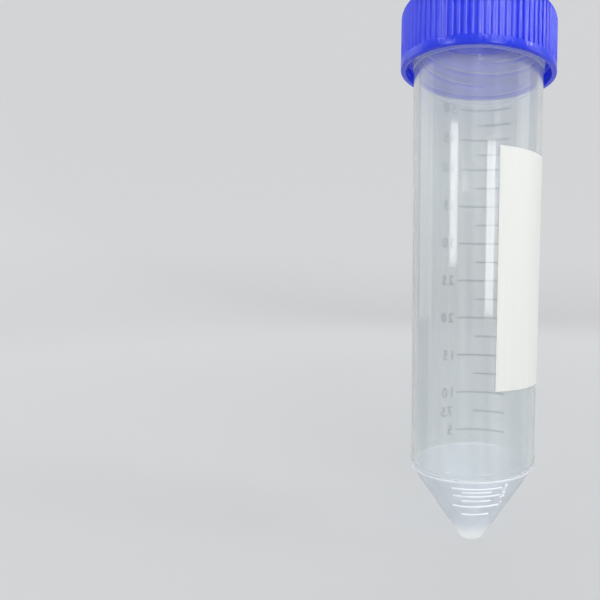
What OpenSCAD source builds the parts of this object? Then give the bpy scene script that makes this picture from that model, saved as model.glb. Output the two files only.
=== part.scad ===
// Conical-bottom centrifuge tube with a ribbed screw cap.
// Millimetres. The tip's lowest point is the origin, +Z runs up the tube's axis,
// -Y faces the reader of the raised marks on the cone, +X is to that reader's right.

/* [Barrel] */
// Height of the tube from the tip to the mouth
tube_h = 115; // [90:0.5:140]
// Outer diameter of the barrel where it meets the cone
barrel_bottom_d = 27.5; // [22:0.1:34]
// Outer diameter of the barrel where it meets the neck
barrel_top_d = 29.2; // [24:0.1:36]
// Thickness of the wall
wall = 1.1; // [0.8:0.05:1.6]
// Height of the fine raised ring over the lower end of the barrel
ring_over_cone = 1.7; // [1.2:0.1:4]
// How far the fine ring stands out
ring_out = 0.12; // [0.05:0.01:0.3]
// Width of the fine ring
ring_w = 0.5; // [0.3:0.1:1]

/* [Cone] */
// Height of the conical end
cone_h = 16.6; // [13:0.1:20]
// Diameter of the blunt tip, before its edge is rounded
tip_d = 4.9; // [4:0.1:7]
// Rounding of the tip's edge
tip_round = 1; // [0.4:0.1:1.4]
// Rounding of the edge between the cone and the barrel
shoulder_round = 1; // [0.4:0.1:2]

/* [Raised marks on the cone] */
// Height of the lowest line over the tip
mark_low_z = 7.9; // [6:0.1:9]
// Distance from the highest line up to the barrel
mark_below_shoulder = 1.6; // [1.4:0.1:3]
// How far the marks stand out
mark_out = 0.25; // [0.1:0.05:0.4]
// Width of a raised line
mark_w = 0.5; // [0.3:0.05:0.6]
// Length of a whole-millilitre line
mark_long = 10.2; // [7:0.1:12]
// Length of a half-millilitre line
mark_short = 6; // [4:0.1:8]
// Height of a raised figure, measured up the cone's slope
mark_figure_h = 2.2; // [1.5:0.1:2.6]
// Space between a long line and its figure
mark_figure_gap = 0.7; // [0.4:0.1:1.5]

/* [Neck and thread] */
// How far the neck stands out from the barrel
neck_out = 0.4; // [0.3:0.05:0.8]
// Height of the gentle flare from the barrel to the neck
flare_h = 2.2; // [1.8:0.1:3]
// Small step where the flare starts
flare_step = 0.12; // [0.05:0.01:0.2]
// Height of the flare's start over the cap's rim
flare_over_rim = 0.5; // [0.2:0.1:1]
// Height of the thread ridge over the neck
thread_depth = 0.95; // [0.7:0.05:1.2]
// Distance from one ridge to the next, along the axis
thread_pitch = 3; // [2.5:0.1:3.6]
// Number of ridges that start side by side
thread_starts = 2; // [1:1:3]
// Width of a ridge at its root
thread_root_w = 1.3; // [1:0.05:1.4]
// Width of a ridge at its crest
thread_crest_w = 0.7; // [0.4:0.05:0.8]
// Gap between the bearing flanks of the two threads
thread_flank_gap = 0.3; // [0.2:0.05:0.4]
// Gap between a thread's crest and the wall that it faces
thread_crest_gap = 0.35; // [0.25:0.05:0.5]
// Plain neck between the mouth and the top of the thread
thread_below_mouth = 2.6; // [2:0.1:4]
// Distance from the flare's start up to the middle of the thread's low end
thread_over_flare = 2; // [1.6:0.1:3.4]
// Angle from +X to where the first ridge starts
thread_from = 74; // [0:1:180]

/* [Cap] */
// Thickness of the cap's skirt over the ribs
cap_wall = 1.2; // [1:0.05:2]
// Height of the cap
cap_h = 13.5; // [11:0.1:16]
// Thickness of the cap's top
cap_top_t = 1.2; // [0.8:0.1:2]
// Rounding of the cap's top edge
cap_top_round = 2.2; // [0.8:0.1:2.4]
// Rounding of the cap's rim
cap_rim_round = 0.25; // [0.1:0.05:0.4]
// Number of ribs
rib_count = 78; // [60:1:90]
// Depth of the grooves between the ribs
groove_depth = 0.45; // [0.2:0.05:0.6]
// Width of a groove at the surface
groove_w = 0.8; // [0.3:0.05:1]
// Width of a groove at its floor
groove_floor_w = 0.5; // [0.1:0.05:0.6]
// Height of the smooth band under the ribs
band_h = 1.7; // [1:0.1:3]
// Depth of the plug skirt that enters the mouth
plug_depth = 2.4; // [2:0.1:6]
// Thickness of the plug skirt
plug_wall = 1; // [0.7:0.05:1.4]
// Gap between the plug skirt and the inside of the mouth
plug_gap = 0.3; // [0.2:0.05:0.5]

/* [Seal] */
// Thickness of the seal ring
seal_t = 0.8; // [0.5:0.1:1.5]
// Gap around the seal ring's edges
seal_gap = 0.15; // [0.1:0.05:0.3]

/* [Print] */
// Thickness of the printed layers
ink_t = 0.08; // [0.05:0.01:0.1]
// Gap under the printed layers
ink_gap = 0.02; // [0.01:0.01:0.05]
// Width of the writing patch around the barrel
patch_w = 25; // [15:0.5:30]
// Distance from the cone up to the patch
patch_over_cone = 18.4; // [10:0.1:30]
// Distance from the patch up to the cap's rim
patch_below_rim = 18.9; // [10:0.1:30]
// Angle from the front to the patch's near edge
patch_from = 18.5; // [5:0.5:40]
// Distance from the cone up to the five millilitre line
scale_over_cone = 3.7; // [3:0.1:8]
// Distance from the full line up to the cap's rim
scale_below_rim = 3.45; // [2:0.05:8]
// Spacing of the lines over forty millilitres, as a share of the spacing below
scale_close_up = 0.81; // [0.7:0.01:1]
// Angle from the back to the scale lines' common end
scale_from = 35.5; // [20:0.5:45]
// Angle that a five-millilitre line spans
scale_long = 54; // [40:1:60]
// Angle that a line between spans
scale_short = 35.5; // [20:0.5:45]
// Width of a scale line
scale_line_w = 0.35; // [0.2:0.05:0.5]
// Height of a printed figure
figure_h = 2.3; // [1.6:0.1:3]
// Space between the longest lines and the figures
figure_gap = 1.2; // [0.5:0.1:2]
// Distance from one figure to the next, as a share of a figure's width
figure_advance = 1.5; // [1.1:0.05:1.6]

/* [Hidden] */
$fn = 96;

// Depth to which raised features are rooted in the wall that carries them
root = 0.3;
// Number of short edges in a rounded corner of an outline
corner_edges = 6;

tip_r = tip_d / 2;
barrel_bottom_r = barrel_bottom_d / 2;
barrel_top_r = barrel_top_d / 2;
neck_r = barrel_top_r + neck_out;

// The cap hangs from the mouth: the seal lies on the mouth and the cap's ceiling on the seal
ceiling_z = tube_h + seal_t;
cap_top_z = ceiling_z + cap_top_t;
rim_z = cap_top_z - cap_h;
// The flare starts just over the cap's rim
flare_z = rim_z + flare_over_rim;
neck_z = flare_z + flare_h;

// Outer radius of the drafted barrel at height z
function barrel_r(z) =
    barrel_bottom_r + (barrel_top_r - barrel_bottom_r) * (z - cone_h) / (flare_z - cone_h);
// Slope of the cone, in millimetres of radius per millimetre of height
cone_slope = (barrel_bottom_r - tip_r) / cone_h;
cone_angle = atan(cone_slope);
// Outer radius of the cone at height z
function cone_r(z) = tip_r + cone_slope * z;
mouth_r = barrel_r(tube_h) - wall;

// Thread sizes on the neck and, from the same values, inside the cap
thread_lead = thread_pitch * thread_starts;
thread_r = neck_r + thread_depth;
cap_bore_r = thread_r + thread_crest_gap;
cap_thread_r = neck_r + thread_crest_gap;
cap_r = cap_bore_r + cap_wall;
thread_low_z = flare_z + thread_over_flare;
thread_turns = (tube_h - thread_below_mouth - thread_low_z) / thread_lead;
// Mean width of two facing flanks halfway up, which with the gap sets the cap's thread below the neck's
flank_offset = (thread_root_w + thread_crest_w) / 2 + thread_flank_gap;
// Share of a ridge's length over which its ends run out, and what is left of its height there
run_out = 0.12;
run_out_left = 0.1;
thread_edges = 48;

plug_r = mouth_r - plug_gap;

function unit(v) = v / norm(v);

// Point at distance t inside the corner b of an outline a, b, c
function inset(a, b, c, t) =
    let (
        u = unit(a - b),
        v = unit(c - b),
        half = acos(u * v) / 2
    )
    b + unit(u + v) * t / sin(half);

// Points of an arc of radius r that rounds the corner b of an outline a, b, c
function rounded(a, b, c, r) =
    let (
        centre = inset(a, b, c, r),
        u = unit(a - b),
        v = unit(c - b),
        reach = r / tan(acos(u * v) / 2),
        from = b + u * reach - centre,
        to = b + v * reach - centre,
        start = atan2(from[1], from[0]),
        turn = atan2(from[0] * to[1] - from[1] * to[0], from * to)
    )
    [for (i = [0 : corner_edges])
        centre + r * [cos(start + turn * i / corner_edges), sin(start + turn * i / corner_edges)]];

// Corners of the tube's outside, from the tip up to the mouth
tip_floor = [0, 0];
tip_corner = [tip_r, 0];
shoulder = [barrel_bottom_r, cone_h];
flare_low = [barrel_r(flare_z), flare_z];
flare_start = flare_low + [flare_step, 0];
flare_end = [neck_r, neck_z];
mouth_out = [neck_r, tube_h];
mouth_in = [mouth_r, tube_h];
// Corners of its inside, one wall in from the outside
inner_shoulder = inset(tip_corner, shoulder, flare_low, wall);
inner_tip = inset(tip_floor, tip_corner, shoulder, wall);
inner_floor = [0, wall];
lip_round = wall / 4;

module tube_shell() {
    rotate_extrude()
        polygon(concat(
            [tip_floor],
            rounded(tip_floor, tip_corner, shoulder, tip_round),
            rounded(tip_corner, shoulder, flare_low, shoulder_round),
            [flare_low, flare_start],
            rounded(flare_start, flare_end, mouth_out, flare_h),
            rounded(flare_end, mouth_out, mouth_in, lip_round),
            rounded(mouth_out, mouth_in, inner_shoulder, lip_round),
            rounded(mouth_in, inner_shoulder, inner_tip, shoulder_round),
            [inner_tip, inner_floor]
        ));
}

// One helical ridge of trapezoid section between the radii foot_r and crest_r. Its ends run out.
module ridge(foot_r, crest_r, low_z, start) {
    rings = ceil(thread_edges * thread_turns);
    // The section is listed the other way round when the ridge points inwards
    side = crest_r > foot_r ? -1 : 1;
    function height(t) =
        run_out_left + (1 - run_out_left) * min(1, t / run_out, (1 - t) / run_out);
    section = [
        for (i = [0 : rings])
            let (
                t = i / rings,
                angle = start + 360 * thread_turns * t,
                z = low_z + thread_lead * thread_turns * t,
                tall = foot_r + (crest_r - foot_r) * height(t),
                across = [cos(angle), sin(angle)]
            )
            each [
                [each across * foot_r, z - side * thread_root_w / 2],
                [each across * tall, z - side * thread_crest_w / 2],
                [each across * tall, z + side * thread_crest_w / 2],
                [each across * foot_r, z + side * thread_root_w / 2]
            ]
    ];
    last = 4 * rings;
    skin = [
        for (i = [0 : rings - 1], j = [0 : 3])
            let (
                a = 4 * i + j,
                b = 4 * i + (j + 1) % 4
            )
            each [[a, a + 4, b], [b, a + 4, b + 4]]
    ];
    ends = [[0, 1, 2], [0, 2, 3], [last, last + 2, last + 1], [last, last + 3, last + 2]];
    polyhedron(points = section, faces = concat(skin, ends));
}

module ridges(foot_r, crest_r, low_z) {
    for (i = [0 : thread_starts - 1])
        ridge(foot_r, crest_r, low_z, thread_from + 360 * i / thread_starts);
}

// Figures, drawn in strokes on a grid one unit wide and two high, with the lower left corner at the origin
stroke = 0.3;
figure_w = 1;
figure_tall = 2;

module bar(a, b) {
    step = b - a;
    translate(a)
        rotate(atan2(step[1], step[0]))
            translate([-stroke / 2, -stroke / 2])
                square([norm(step) + stroke, stroke]);
}

// Part of a ring whose middle line has radius r, counted anticlockwise from the angle a to the angle b
module bow(centre, r, a, b) {
    reach = 2 * r;
    middle = (a + b) / 2;
    translate(centre)
        intersection() {
            difference() {
                circle(r + stroke / 2);
                circle(r - stroke / 2);
            }
            polygon([
                [0, 0],
                reach * [cos(a), sin(a)],
                reach * [cos((a + middle) / 2), sin((a + middle) / 2)],
                reach * [cos(middle), sin(middle)],
                reach * [cos((b + middle) / 2), sin((b + middle) / 2)],
                reach * [cos(b), sin(b)]
            ]);
        }
}

// Middle lines of the strokes
left = stroke / 2;
right = figure_w - stroke / 2;
low = stroke / 2;
high = figure_tall - stroke / 2;
mid = figure_w / 2;
bowl_r = right - mid;

module figure(digit) {
    if (digit == 0) {
        bow([mid, low + bowl_r], bowl_r, 180, 360);
        bow([mid, high - bowl_r], bowl_r, 0, 180);
        bar([left, low + bowl_r], [left, high - bowl_r]);
        bar([right, low + bowl_r], [right, high - bowl_r]);
    }
    if (digit == 1) {
        bar([mid, low], [mid, high]);
        bar([left, high - bowl_r], [mid, high]);
    }
    if (digit == 2) {
        bow([mid, high - bowl_r], bowl_r, -40, 180);
        bar([left, low], [mid + bowl_r * cos(40), high - bowl_r - bowl_r * sin(40)]);
        bar([left, low], [right, low]);
    }
    if (digit == 3) {
        bow([mid, high - bowl_r], bowl_r, -80, 160);
        bow([mid, low + bowl_r], bowl_r, -160, 80);
        bar([mid, figure_tall / 2], [mid + bowl_r / 2, figure_tall / 2]);
    }
    if (digit == 4) {
        bar([right - bowl_r / 2, low], [right - bowl_r / 2, high]);
        bar([left, low + bowl_r], [right - bowl_r / 2, high]);
        bar([left, low + bowl_r], [right, low + bowl_r]);
    }
    if (digit == 5) {
        bow([mid, low + bowl_r], bowl_r, -160, 130);
        bar([left, high], [right, high]);
        bar([left, high], [left, low + bowl_r * (1 + sin(130))]);
    }
    if (digit == 7) {
        bar([left, high], [right, high]);
        bar([mid - bowl_r / 2, low], [right, high]);
    }
}

// Height of the raised line for a volume in millilitres: inside a cone the height goes with the cube root
mark_least = 0.5;
mark_most = 3;
mark_high_z = cone_h - mark_below_shoulder;
function cube_root(volume) = pow(volume, 1 / 3);
function mark_z(volume) =
    mark_low_z
    + (mark_high_z - mark_low_z)
    * (cube_root(volume) - cube_root(mark_least))
    / (cube_root(mark_most) - cube_root(mark_least));
// The marks sit a little to the right of the front
mark_azimuth = 4;
front = -90;

// Everything within mark_out of the cone's surface
module mark_skin() {
    rise = mark_out / cos(cone_angle);
    rotate_extrude()
        polygon([
            [cone_r(0) - root, 0],
            [cone_r(0) + rise, 0],
            [cone_r(cone_h) + rise, cone_h],
            [cone_r(cone_h) - root, cone_h]
        ]);
}

module raised_line(volume, length) {
    z = mark_z(volume);
    r = cone_r(z);
    span = 2 * asin(length / 2 / r);
    inwards = [-cos(cone_angle), sin(cone_angle)];
    along = [sin(cone_angle), cos(cone_angle)];
    middle = [r, z];
    rotate(front + mark_azimuth - span / 2)
        rotate_extrude(angle = span)
            polygon([
                middle + inwards * root - along * mark_w / 2,
                middle - inwards * mark_out - along * mark_w / 3,
                middle - inwards * mark_out + along * mark_w / 3,
                middle + inwards * root + along * mark_w / 2
            ]);
}

module raised_figure(digit) {
    z = mark_z(digit);
    r = cone_r(z);
    size = mark_figure_h / figure_tall;
    line_half = asin(mark_long / 2 / r);
    aside = line_half + (mark_figure_gap + size * figure_w / 2) / r * 180 / PI;
    intersection() {
        mark_skin();
        rotate(mark_azimuth + aside)
            translate([0, -r, z])
                rotate([90 + cone_angle, 0, 0])
                    translate([0, 0, -wall])
                        linear_extrude(2 * wall)
                            scale(size)
                                translate([-figure_w / 2, -figure_tall / 2])
                                    figure(digit);
    }
}

module cone_marks() {
    for (volume = [1 : mark_most]) {
        raised_line(volume, mark_long);
        raised_line(volume - mark_least, mark_short);
        raised_figure(volume);
    }
}

module fine_ring() {
    z = cone_h + ring_over_cone;
    rotate_extrude()
        translate([barrel_r(z), z])
            polygon([
                [-root, -ring_w / 2],
                [0, -ring_w / 2],
                [ring_out, -ring_w / 4],
                [ring_out, ring_w / 4],
                [0, ring_w / 2],
                [-root, ring_w / 2]
            ]);
}

module tube_body() {
    color([0.86, 0.9, 0.92, 0.55])
        union() {
            tube_shell();
            fine_ring();
            cone_marks();
            ridges(neck_r - root, thread_r, thread_low_z);
        }
}

// Corners of the cap's outline
top_centre = [0, cap_top_z];
top_corner = [cap_r, cap_top_z];
rim_out = [cap_r, rim_z];
rim_in = [cap_bore_r, rim_z];
bore_top = [cap_bore_r, ceiling_z];
plug_top = [plug_r, ceiling_z];
plug_low = [plug_r, ceiling_z - plug_depth];
plug_low_in = [plug_r - plug_wall, ceiling_z - plug_depth];
plug_top_in = [plug_r - plug_wall, ceiling_z];
ceiling_centre = [0, ceiling_z];

module cap_shell() {
    rotate_extrude()
        polygon(concat(
            [top_centre],
            rounded(top_centre, top_corner, rim_out, cap_top_round),
            rounded(top_corner, rim_out, rim_in, cap_rim_round),
            rounded(rim_out, rim_in, bore_top, cap_rim_round),
            [bore_top, plug_top],
            rounded(plug_top, plug_low, plug_low_in, plug_wall / 3),
            [plug_low_in, plug_top_in, ceiling_centre]
        ));
}

module grooves() {
    for (i = [0 : rib_count - 1])
        rotate(360 * i / rib_count)
            translate([cap_r, 0, rim_z + band_h])
                linear_extrude(cap_h)
                    polygon([
                        [-groove_depth, -groove_floor_w / 2],
                        [0, -groove_w / 2],
                        [groove_depth, -groove_w / 2],
                        [groove_depth, groove_w / 2],
                        [0, groove_w / 2],
                        [-groove_depth, groove_floor_w / 2]
                    ]);
}

module screw_cap() {
    color([0.22, 0.3, 0.85])
        union() {
            difference() {
                cap_shell();
                grooves();
            }
            ridges(cap_bore_r + root, cap_thread_r, thread_low_z - flank_offset);
        }
}

module seal_ring() {
    color([0.93, 0.93, 0.9])
        rotate_extrude()
            translate([plug_r + seal_gap, tube_h])
                square([cap_bore_r - plug_r - 2 * seal_gap, seal_t]);
}

// Part of a thin layer on the barrel between two heights and two angles, counted from +X
module ink(low_z, high_z, from, to) {
    rotate(from)
        rotate_extrude(angle = to - from)
            polygon([
                [barrel_r(low_z) + ink_gap, low_z],
                [barrel_r(low_z) + ink_gap + ink_t, low_z],
                [barrel_r(high_z) + ink_gap + ink_t, high_z],
                [barrel_r(high_z) + ink_gap, high_z]
            ]);
}

module writing_patch() {
    low_z = cone_h + patch_over_cone;
    high_z = rim_z - patch_below_rim;
    span = patch_w / barrel_r((low_z + high_z) / 2) * 180 / PI;
    color([0.95, 0.95, 0.93])
        ink(low_z, high_z, front + patch_from, front + patch_from + span);
}

// The printed scale: its lines run round the back from a common end
back = 90;
scale_unit = 5;
scale_change = 40;
scale_full = 50;
// Number of plain steps up to a volume, with the closer steps at the top counted as shares
function scale_steps(volume) =
    min(volume, scale_change) / scale_unit - 1
    + scale_close_up * max(volume - scale_change, 0) / scale_unit;
scale_low_z = cone_h + scale_over_cone;
scale_high_z = rim_z - scale_below_rim;
function scale_z(volume) =
    scale_low_z + (scale_high_z - scale_low_z) * scale_steps(volume) / scale_steps(scale_full);

module scale_line(volume, span) {
    z = scale_z(volume);
    from = back - scale_from;
    ink(z - scale_line_w / 2, z + scale_line_w / 2, from, from + span);
}

module scale_lines() {
    color([0.25, 0.28, 0.33])
        union() {
            for (volume = [scale_unit : scale_unit : scale_full])
                scale_line(volume, scale_long);
            for (volume = [scale_half : scale_unit : scale_full])
                scale_line(volume, scale_short);
        }
}

// The only line between that has figures
scale_half = 7.5;

// One printed figure on the barrel. place 0 is the figure next to the lines.
module printed_figure(volume, place) {
    size = figure_h / figure_tall;
    advance = size * figure_w * figure_advance;
    z = scale_z(volume);
    r = barrel_r(z);
    run = figure_gap + size * figure_w / 2 + place * advance;
    angle = back - scale_from + scale_long + run / r * 180 / PI;
    intersection() {
        ink(z - figure_h, z + figure_h, angle - 45, angle + 45);
        rotate(angle)
            translate([r - wall, 0, z])
                rotate([90, 0, 90])
                    linear_extrude(2 * wall)
                        scale(size)
                            translate([-figure_w / 2, -figure_tall / 2])
                                children();
    }
}

module scale_numerals() {
    color([0.25, 0.28, 0.33])
        union() {
            for (volume = [10 : scale_unit : scale_full])
                printed_figure(volume, 0)
                    figure(floor(volume / 10));
            for (volume = [scale_unit : scale_unit : scale_full])
                printed_figure(volume, 1)
                    figure(volume % 10);
            printed_figure(scale_half, 0)
                figure(7);
            printed_figure(scale_half, 1)
                figure(5);
            printed_figure(scale_half, 0.5)
                translate([mid - stroke / 2, 0])
                    square(stroke);
        }
}

tube_body();
screw_cap();
seal_ring();
writing_patch();
scale_lines();
scale_numerals();
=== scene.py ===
# %% [markdown]
# # A conical centrifuge tube with a ribbed screw cap
# The object is a laboratory tube for 50 millilitres: one clear-to-milky moulding with a conical end, a blue
# cap that screws on, a soft ring inside the cap, and three layers of print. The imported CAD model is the
# frame: it says where every piece is, in metres, so each piece here is modelled straight in its place.

# %% The frame
import math

import bmesh
import bpy
from mathutils import Matrix, Vector


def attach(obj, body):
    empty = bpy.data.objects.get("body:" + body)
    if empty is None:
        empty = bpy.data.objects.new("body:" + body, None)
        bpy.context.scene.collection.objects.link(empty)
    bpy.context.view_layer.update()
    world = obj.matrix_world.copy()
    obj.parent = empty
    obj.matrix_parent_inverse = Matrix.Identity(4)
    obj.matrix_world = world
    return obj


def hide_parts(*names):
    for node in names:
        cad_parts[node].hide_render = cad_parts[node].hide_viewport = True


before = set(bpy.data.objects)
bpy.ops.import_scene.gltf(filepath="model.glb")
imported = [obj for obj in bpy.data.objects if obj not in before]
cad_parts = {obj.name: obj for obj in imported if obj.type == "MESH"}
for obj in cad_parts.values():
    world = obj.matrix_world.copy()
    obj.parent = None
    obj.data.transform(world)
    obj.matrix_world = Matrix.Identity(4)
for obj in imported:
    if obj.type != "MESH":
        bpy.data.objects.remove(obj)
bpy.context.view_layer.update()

MM = 0.001

# %% [markdown]
# ## The camera
# The photograph was taken from close by, at about half the height of the tube, so the cap is seen from
# below and the cone from above. The distance, lens and tilt were worked out from the outline of the cap,
# the barrel and the cone. The tube stands right of the middle, which the lens shift reproduces without
# turning the camera, because turning it would change the perspective.

# %% The camera
CAMERA_PLACE = Vector((0, -123.09, 57.13)) * MM
CAMERA_YAW = -0.0169
CAMERA_PITCH = 0.003
CAMERA_ROLL = 0.0162
scene = bpy.context.scene
scene.view_settings.view_transform = "Standard"
lens = bpy.data.cameras.new("camera")
lens.sensor_width = 36
lens.lens = 32.7
lens.shift_x = -0.2769
lens.shift_y = -0.0338
lens.clip_start = 0.001
camera = bpy.data.objects.new("camera", lens)
scene.collection.objects.link(camera)
camera.location = CAMERA_PLACE
looking = Matrix.Rotation(-CAMERA_YAW, 3, "Z") @ Matrix.Rotation(math.pi / 2 + CAMERA_PITCH, 3, "X")
camera.rotation_euler = (looking @ Matrix.Rotation(CAMERA_ROLL, 3, "Z")).to_euler()
scene.camera = camera
print("camera", [round(v / MM, 1) for v in camera.location], "lens", lens.lens)

# %% [markdown]
# ## Colours and nodes
# Paint shops and web pages write a colour as an sRGB hex value, but a shader works with linear light, so
# one function turns the first into the second. Another one adds a node with its settings and links, which
# keeps every material below readable as a short list.

# %% Colours and nodes
def tint(hex_value):
    """An sRGB hex value as a linear colour with full alpha"""
    parts = [int(hex_value[i:i + 2], 16) / 255 for i in (1, 3, 5)]
    linear = [p / 12.92 if p <= 0.04045 else ((p + 0.055) / 1.055) ** 2.4 for p in parts]
    return (*linear, 1)


def add_node(tree, kind, sockets, **settings):
    """Adds a node. A socket gets a value, or a link from another node's output."""
    node = tree.nodes.new(kind)
    for name, value in settings.items():
        setattr(node, name, value)
    for name, value in sockets.items():
        if isinstance(value, bpy.types.NodeSocket):
            tree.links.new(value, node.inputs[name])
        else:
            node.inputs[name].default_value = value
    return node


def new_material(name):
    """An empty material and its node tree"""
    material = bpy.data.materials.new(name)
    material.use_nodes = True
    material.node_tree.nodes.clear()
    return material, material.node_tree


print("middle grey in linear light:", [round(v, 3) for v in tint("#808080")])

# %% [markdown]
# ## The stage
# A round photo cove: a pale floor whose rim curves up on all sides, so that the background is plain from
# every angle. It is made as by hand: a filled circle whose outer rim is extruded up, and the corner between
# them is bevelled into a curve. To the light on the tube the paper is a mid grey, so that it doesn't flood
# the tube from below. Where it is looked at, straight, in a reflection or through the tube, some glow is
# mixed in. That makes it pale and still lets the tube's shadow show on the floor. The wall gets less light
# than the floor, so the share of glow grows with the distance from the tube, and both look alike.

# %% The stage
COVE_R = 0.9
COVE_H = 0.8
COVE_BEND = 0.35
COVE_SIDES = 96
FLOOR_Z = -0.3 * MM
bpy.ops.object.select_all(action="DESELECT")
bpy.ops.mesh.primitive_circle_add(vertices=COVE_SIDES, radius=COVE_R, fill_type="NGON", location=(0, 0, 0))
cove = bpy.context.object
cove.name = "photo_cove"
bpy.ops.object.mode_set(mode="EDIT")
bpy.ops.mesh.select_mode(type="EDGE")
bpy.ops.mesh.select_all(action="SELECT")
bpy.ops.mesh.region_to_loop()
bpy.ops.mesh.extrude_region_move(TRANSFORM_OT_translate={"value": (0, 0, COVE_H)})
rim = bmesh.from_edit_mesh(cove.data)
for edge in rim.edges:
    edge.select = all(abs(v.co.z) < MM for v in edge.verts)
rim.select_flush_mode()
bpy.ops.mesh.bevel(offset=COVE_BEND, segments=12, affect="EDGES")
bpy.ops.mesh.select_all(action="SELECT")
bpy.ops.transform.translate(value=(0, 0, FLOOR_Z))
bpy.ops.object.mode_set(mode="OBJECT")
bpy.ops.object.shade_smooth_by_angle(angle=math.radians(30))
print("cove", len(cove.data.polygons), "faces")

# %% The backdrop paper
# Share of glow on the floor and on the wall, and the distances from the tube between which it grows
FLOOR_GLOW = 0.5
WALL_GLOW = 0.75
GLOW_NEAR = 0.5
GLOW_FAR = 0.8
backdrop, tree = new_material("matt_backdrop_paper")
paper = add_node(tree, "ShaderNodeBsdfDiffuse", {"Color": tint("#B4B6B8"), "Roughness": 0.9})
glow = add_node(tree, "ShaderNodeEmission", {"Color": tint("#E6E7E8"), "Strength": 1})
rays = add_node(tree, "ShaderNodeLightPath", {})
seen = add_node(tree, "ShaderNodeMath", {
    0: rays.outputs["Is Camera Ray"], 1: rays.outputs["Is Glossy Ray"]}, operation="MAXIMUM")
looked_at = add_node(tree, "ShaderNodeMath", {
    0: seen.outputs[0], 1: rays.outputs["Is Transmission Ray"]}, operation="MAXIMUM")
place = add_node(tree, "ShaderNodeTexCoord", {})
away = add_node(tree, "ShaderNodeVectorMath", {0: place.outputs["Object"]}, operation="LENGTH")
glow_share = add_node(tree, "ShaderNodeMapRange", {
    "Value": away.outputs["Value"], "From Min": GLOW_NEAR, "From Max": GLOW_FAR,
    "To Min": FLOOR_GLOW, "To Max": WALL_GLOW})
share = add_node(tree, "ShaderNodeMath", {
    0: looked_at.outputs[0], 1: glow_share.outputs["Result"]}, operation="MULTIPLY")
sheet = add_node(tree, "ShaderNodeMixShader", {
    "Fac": share.outputs[0], 1: paper.outputs["BSDF"], 2: glow.outputs["Emission"]})
add_node(tree, "ShaderNodeOutputMaterial", {"Surface": sheet.outputs["Shader"]})
cove.data.materials.append(backdrop)
print(backdrop.name, len(tree.nodes), "nodes")

# %% [markdown]
# ## The light
# Plain soft light: an even pale sky, and large panels. A shiny barrel shows each panel as an upright
# streak. In the photograph two bright streaks lie on the front of the barrel, so two upright panels stand
# where those streaks mirror them, and two broad ones light the edges from the sides. The ribs of the cap are
# seen from below and mirror what is higher up, so three higher panels give them their pale stripes. One
# more panel behind the tube lights the back of the cap, whose blue then glows in the neck. It is hidden
# from reflections. This panel and the two at the sides are also hidden from the view through the tube,
# where they would show as bright boards.

# %% The light
def panel(name, azimuth, distance, low, high, width, radiance):
    """An upright panel lamp between two heights, at an angle to the right of the camera, facing the axis"""
    lamp = bpy.data.lights.new(name, "AREA")
    lamp.shape = "RECTANGLE"
    lamp.size = width
    lamp.size_y = high - low
    lamp.energy = radiance * math.pi * lamp.size * lamp.size_y
    held = bpy.data.objects.new(name, lamp)
    scene.collection.objects.link(held)
    turn = math.radians(azimuth)
    held.location = (distance * math.sin(turn), -distance * math.cos(turn), (low + high) / 2)
    level_aim = Vector((0, 0, held.location.z))
    held.rotation_euler = (level_aim - held.location).to_track_quat("-Z", "Y").to_euler()
    held.visible_camera = False
    return held


# The angle in degrees, then distance, lower end, upper end and width in metres, and last the radiance
PANELS = {
    "left_streak": (-40, 0.5, 0.067, 0.22, 0.117, 4.5),
    "right_streak": (24, 0.5, 0.012, 0.2, 0.124, 4.5),
    "left_side": (-100, 0.5, 0.01, 0.45, 0.3, 1),
    "right_side": (84, 0.5, 0.01, 0.45, 0.25, 1.1),
    "key_high": (24, 0.55, 0.33, 0.45, 0.5, 6.5),
    "right_high": (77, 0.5, 0.31, 0.41, 0.06, 24),
    "left_high": (-55, 0.5, 0.3, 0.42, 0.06, 9),
    "behind": (180, 0.62, 0.3, 0.62, 0.75, 10),
}
lamps = {name: panel(name, *values) for name, values in PANELS.items()}
lamps["behind"].visible_glossy = False
for name in ("left_side", "right_side", "behind"):
    lamps[name].visible_transmission = False

sky = bpy.data.worlds.new("soft_sky")
scene.world = sky
sky.use_nodes = True
sky.node_tree.nodes["Background"].inputs["Color"].default_value = tint("#F4F6F8")
sky.node_tree.nodes["Background"].inputs["Strength"].default_value = 0.72
print("lamps:", list(lamps))

# %% [markdown]
# ## Natural polypropylene
# The tube is injection moulded from polypropylene with no pigment. A thin polished wall is shiny and clear
# enough to read a scale through, but its crystals scatter some light, so it looks milky. That milk is the
# share of light that isn't transmitted. Long faint flow lines from filling the mould run up the wall, and
# they make the reflections waver a little. Lamps pass through it, as they do through a thin real wall.
# The tool is polished for the barrel and the neck, whose wall is thicker and so hazier. The cone is duller
# and milkier, and the raised lines and figures on it have the coarsest finish and scatter all light.
# So one function makes the same plastic with four finishes. The solid tip is the thickest place and the
# whitest.

# %% Natural polypropylene
CLOUD_SIZE = 7 * MM
FLOW_WIDTH = 2.2 * MM
FLOW_LENGTH = 70 * MM
# The tip is white up to the first height and like the rest of the wall from the second one on
TIP_SOLID_Z = 1 * MM
TIP_THIN_Z = 5 * MM


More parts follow.
